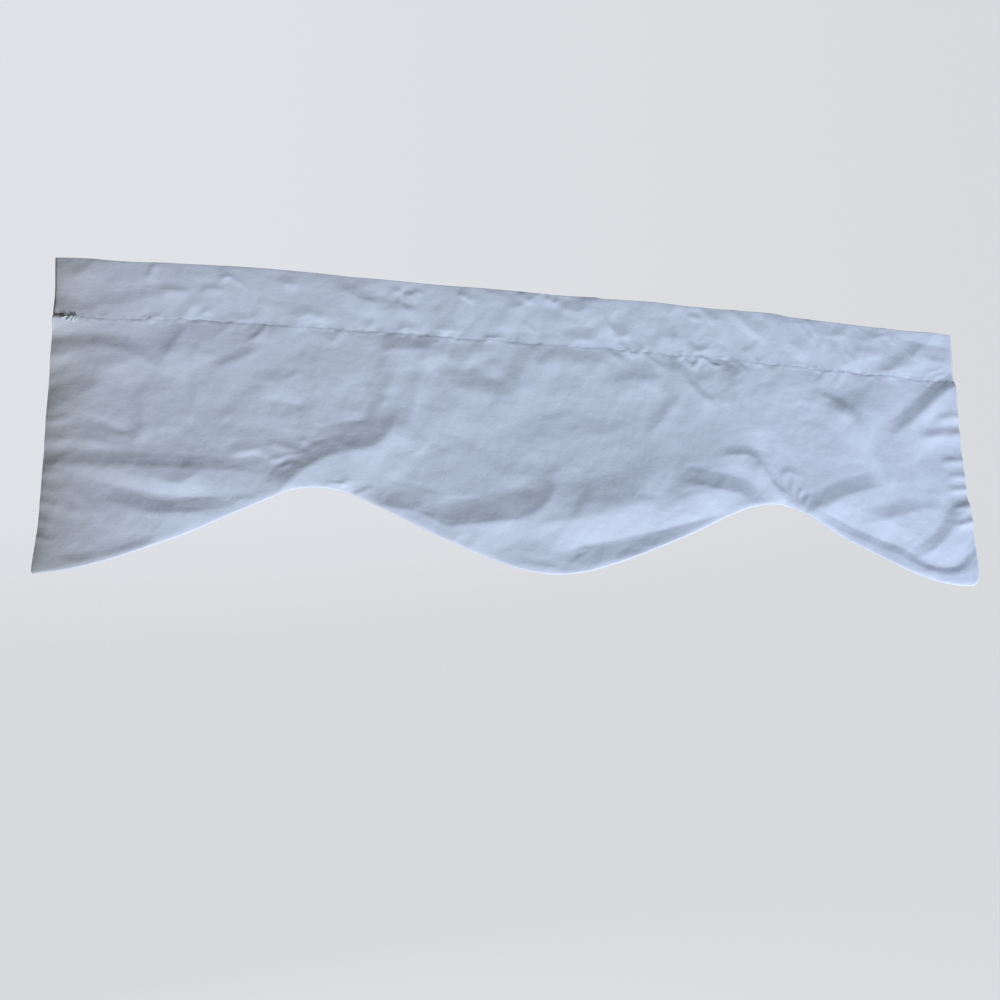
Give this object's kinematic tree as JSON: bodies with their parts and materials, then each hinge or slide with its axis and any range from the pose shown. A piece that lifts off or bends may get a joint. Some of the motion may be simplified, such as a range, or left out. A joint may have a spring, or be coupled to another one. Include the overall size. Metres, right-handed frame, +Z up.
{
  "type": "window valance",
  "caption": "Flat white cotton window valance with an open rod pocket along its top and a scalloped hem.",
  "frame": {"origin": "middle of the top edge, where a rod in the pocket would hold the cloth", "axes": "+X along the width, +Y to the wall, +Z up; the face of the cloth looks towards -Y"},
  "size_m": [1.5274, 0.0304, 0.4737],
  "materials": {
    "cotton": "plain-woven cotton, matt, cool white, lightly creased"
  },
  "bodies": {
    "root": {"rod_pocket": "cotton", "panel": "cotton"}
  },
  "joints": []
}
